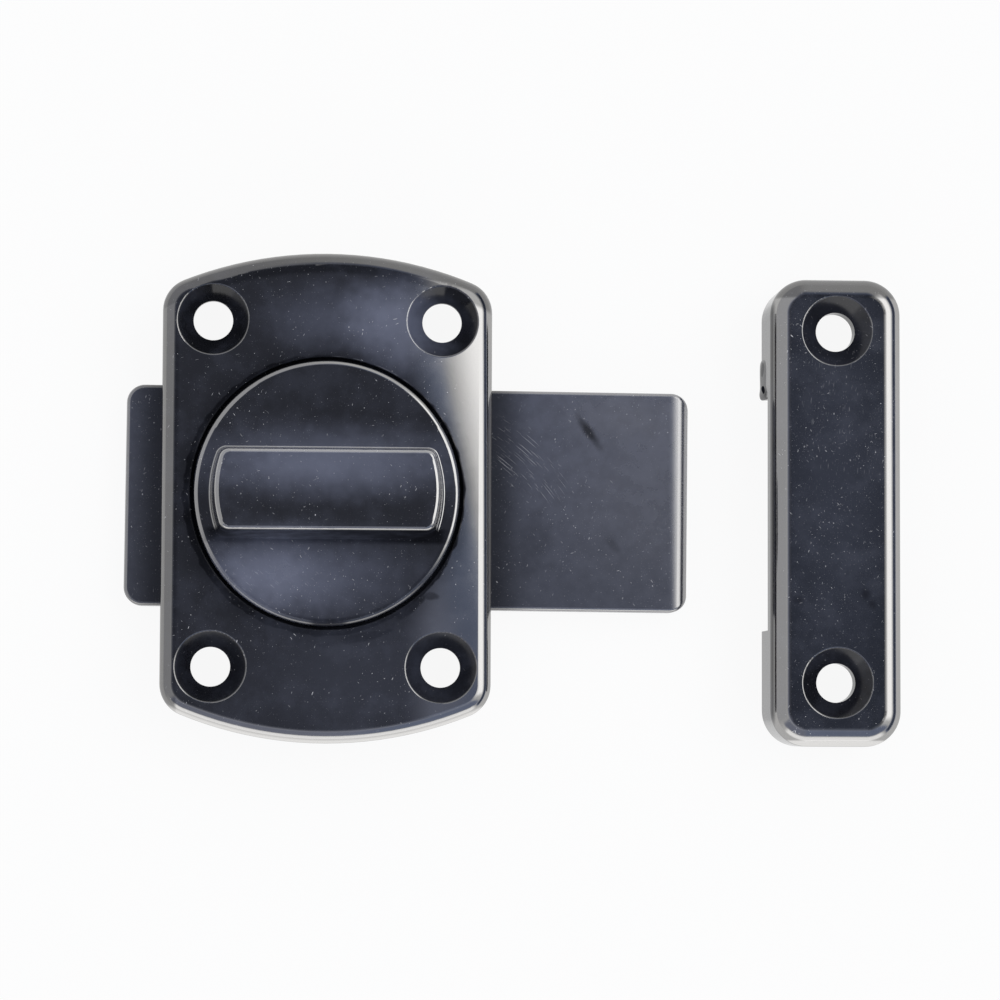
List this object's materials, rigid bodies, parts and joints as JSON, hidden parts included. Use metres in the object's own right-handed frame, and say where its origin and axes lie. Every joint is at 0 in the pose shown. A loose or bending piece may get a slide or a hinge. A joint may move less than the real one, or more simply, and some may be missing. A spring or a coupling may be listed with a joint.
{
  "type": "door bolt",
  "caption": "Surface-mounted rotary door bolt: a knob in a cast case turns half a turn and slides a flat bolt, with a separate hollow keeper for the frame.",
  "frame": {"origin": "the middle of the case's four screw holes, on the back face that lies on the door", "axes": "+X is the way the bolt is thrown, towards the keeper; +Y runs up the case's long side; +Z points out of the door, towards the user"},
  "size_m": [0.0948, 0.0596, 0.0168],
  "materials": {
    "case_black": "gloss black electroplate over a zinc die casting",
    "plate_steel": "zinc plated steel sheet",
    "screw_steel": "zinc plated steel",
    "bolt_black": "satin black plated steel, rubbed by use",
    "knob_black": "gloss black electroplate over a zinc die casting",
    "crank_steel": "plain pressed steel",
    "pin_steel": "bright turned steel",
    "washer_steel": "spring steel",
    "keeper_black": "gloss black electroplate over a zinc die casting"
  },
  "bodies": {
    "lock_body": {"case": "case_black", "back_plate": "plate_steel", "back_plate_screws": "screw_steel", "spring_washer": "washer_steel"},
    "knob_assembly": {"knob": "knob_black", "crank": "crank_steel", "crank_pin": "pin_steel", "knob_screw": "screw_steel"},
    "bolt_slider": {"bolt": "bolt_black"},
    "keeper_block": {"keeper": "keeper_black"}
  },
  "joints": [
    {"name": "knob_turn", "type": "hinge", "parent": "lock_body", "child": "knob_assembly", "pos_m": [0, 0, 0], "axis": [0, 0, 1], "range_deg": [0, 180]},
    {"name": "bolt_slide", "type": "slide", "parent": "lock_body", "child": "bolt_slider", "axis": [-1, 0.0077, 0], "range_m": [0, 0.02]},
    {"name": "keeper_place", "type": "slide", "parent": "lock_body", "child": "keeper_block", "axis": [-0.9968, 0.0804, 0], "range_m": [0, 0.02177]}
  ],
  "couplings": [
    {"joint": "knob_turn", "follows": "bolt_slide", "rad_per_m": 157.08}
  ]
}
